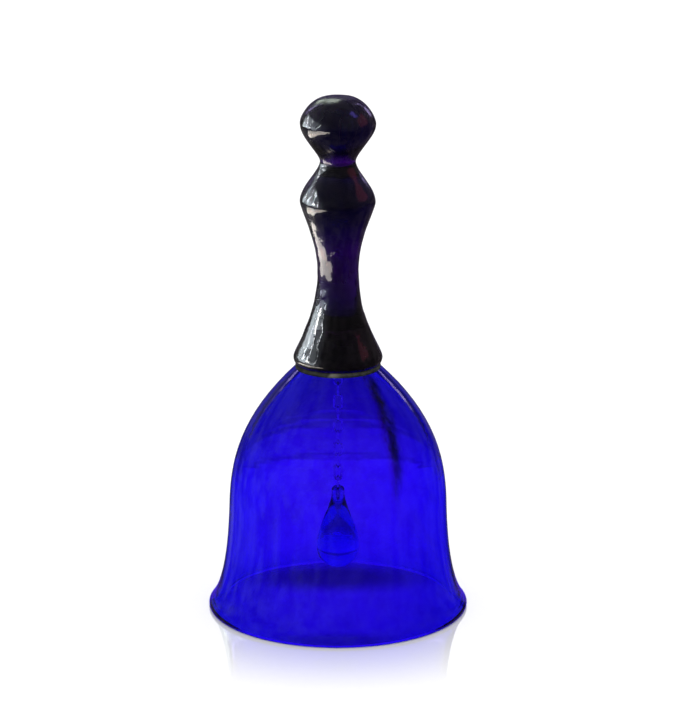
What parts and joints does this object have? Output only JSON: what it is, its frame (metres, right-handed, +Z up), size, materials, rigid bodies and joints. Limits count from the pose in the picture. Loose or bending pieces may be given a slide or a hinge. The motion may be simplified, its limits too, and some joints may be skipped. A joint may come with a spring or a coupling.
{
  "type": "glass hand bell",
  "caption": "Hand bell of cobalt glass: flared blown bowl, solid turned-profile glass handle cemented over its neck, glass drop clapper on a fine wire chain.",
  "frame": {"origin": "centre of the mouth on the plane of the rim", "axes": "+Z up the bell's axis from the rim to the knob; X and Y across the mouth, the two swing directions of the chain's links"},
  "size_m": [0.08, 0.08, 0.1607],
  "materials": {
    "bowl_glass": "clear cobalt blue blown glass, fire-polished",
    "handle_glass": "solid cobalt glass, so thick that it looks near black, high gloss",
    "drop_glass": "solid cobalt glass, fire-polished",
    "cement": "fine hard cement, dark olive, slightly dull",
    "wire": "drawn wire, slightly dull"
  },
  "bodies": {
    "bell": {"bell_bowl": "bowl_glass", "handle": "handle_glass", "joint_cement": "cement", "hanger_staple": "wire"},
    "link_1": {"chain_link_1": "wire"},
    "link_2": {"chain_link_2": "wire"},
    "link_3": {"chain_link_3": "wire"},
    "link_4": {"chain_link_4": "wire"},
    "link_5": {"chain_link_5": "wire"},
    "link_6": {"chain_link_6": "wire"},
    "link_7": {"chain_link_7": "wire"},
    "link_8": {"chain_link_8": "wire"},
    "link_9": {"chain_link_9": "wire"},
    "link_10": {"chain_link_10": "wire"},
    "clapper": {"clapper_loop": "wire", "clapper_drop": "drop_glass"}
  },
  "joints": [
    {"name": "link_1_swing", "type": "hinge", "parent": "bell", "child": "link_1", "pos_m": [0, 0, 0.0778], "axis": [1, 0, 0], "range_deg": [-24, 24]},
    {"name": "link_2_swing", "type": "hinge", "parent": "link_1", "child": "link_2", "pos_m": [0, 0, 0.07425], "axis": [0, 1, 0], "range_deg": [-25, 25]},
    {"name": "link_3_swing", "type": "hinge", "parent": "link_2", "child": "link_3", "pos_m": [0, 0, 0.07055], "axis": [-1, 0, 0], "range_deg": [-27, 27]},
    {"name": "link_4_swing", "type": "hinge", "parent": "link_3", "child": "link_4", "pos_m": [0, 0, 0.06685], "axis": [0, -1, 0], "range_deg": [-30, 30]},
    {"name": "link_5_swing", "type": "hinge", "parent": "link_4", "child": "link_5", "pos_m": [0, 0, 0.06315], "axis": [1, 0, 0], "range_deg": [-33, 33]},
    {"name": "link_6_swing", "type": "hinge", "parent": "link_5", "child": "link_6", "pos_m": [0, 0, 0.05945], "axis": [0, 1, 0], "range_deg": [-36, 36]},
    {"name": "link_7_swing", "type": "hinge", "parent": "link_6", "child": "link_7", "pos_m": [0, 0, 0.05575], "axis": [-1, 0, 0], "range_deg": [-40, 40]},
    {"name": "link_8_swing", "type": "hinge", "parent": "link_7", "child": "link_8", "pos_m": [0, 0, 0.05205], "axis": [0, -1, 0], "range_deg": [-46, 46]},
    {"name": "link_9_swing", "type": "hinge", "parent": "link_8", "child": "link_9", "pos_m": [0, 0, 0.04835], "axis": [1, 0, 0], "range_deg": [-54, 54]},
    {"name": "link_10_swing", "type": "hinge", "parent": "link_9", "child": "link_10", "pos_m": [0, 0, 0.04465], "axis": [0, 1, 0], "range_deg": [-65, 65]},
    {"name": "clapper_swing", "type": "hinge", "parent": "link_10", "child": "clapper", "pos_m": [0, 0, 0.04095], "axis": [-1, 0, 0], "range_deg": [-70, 70]}
  ]
}
